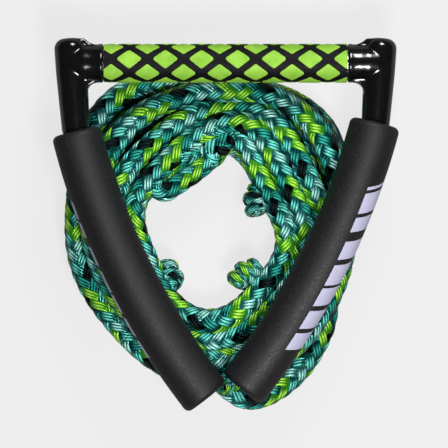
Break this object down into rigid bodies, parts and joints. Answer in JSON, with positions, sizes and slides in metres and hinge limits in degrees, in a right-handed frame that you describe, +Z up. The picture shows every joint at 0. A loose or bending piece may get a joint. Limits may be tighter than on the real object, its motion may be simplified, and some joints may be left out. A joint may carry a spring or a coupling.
{
  "type": "tow rope handle",
  "caption": "Short tow rope handle with a ribbed grip bar, moulded elbow caps, two curved foam floats and a thick braided tow line lying coiled beneath it.",
  "frame": {"origin": "middle of the handle's own box, without the tow line", "axes": "+X along the grip bar, +Y from the apex of the floats to the bar, +Z up, away from the surface that the coil lies on"},
  "size_m": [0.2576, 0.2796, 0.0791],
  "materials": {
    "bar_alloy": "satin",
    "grip_rubber": "satin",
    "cap_plastic": "gloss",
    "bush_nylon": "satin",
    "float_foam": "matte",
    "bridle_rope": "satin",
    "tow_rope": "satin"
  },
  "bodies": {
    "line": {"rope_coil": "tow_rope", "rope_lead": "tow_rope", "stopper_knot_1": "tow_rope", "stopper_knot_2": "tow_rope", "stopper_knot_3": "tow_rope", "tow_eye": "tow_rope", "eye_splice": "tow_rope"},
    "bridle": {"float_left": "float_foam", "float_right": "float_foam", "bridle_rope_left": "bridle_rope", "bridle_rope_right": "bridle_rope", "bridle_knot": "bridle_rope"},
    "bar": {"bar_tube": "bar_alloy", "grip_sleeve": "grip_rubber", "end_cap_left": "cap_plastic", "end_cap_right": "cap_plastic", "tube_bush_left": "bush_nylon", "tube_bush_right": "bush_nylon", "bridle_rope_bar": "bridle_rope"}
  },
  "joints": [
    {"name": "handle_lift", "type": "hinge", "parent": "line", "child": "bridle", "pos_m": [0.008, -0.133, -0.0286], "axis": [1, 0, 0], "range_deg": [0, 150]},
    {"name": "bar_fold", "type": "hinge", "parent": "bridle", "child": "bar", "pos_m": [0, 0.0714, 0], "axis": [0.9996, 0.0297, 0], "range_deg": [0, 24]}
  ]
}
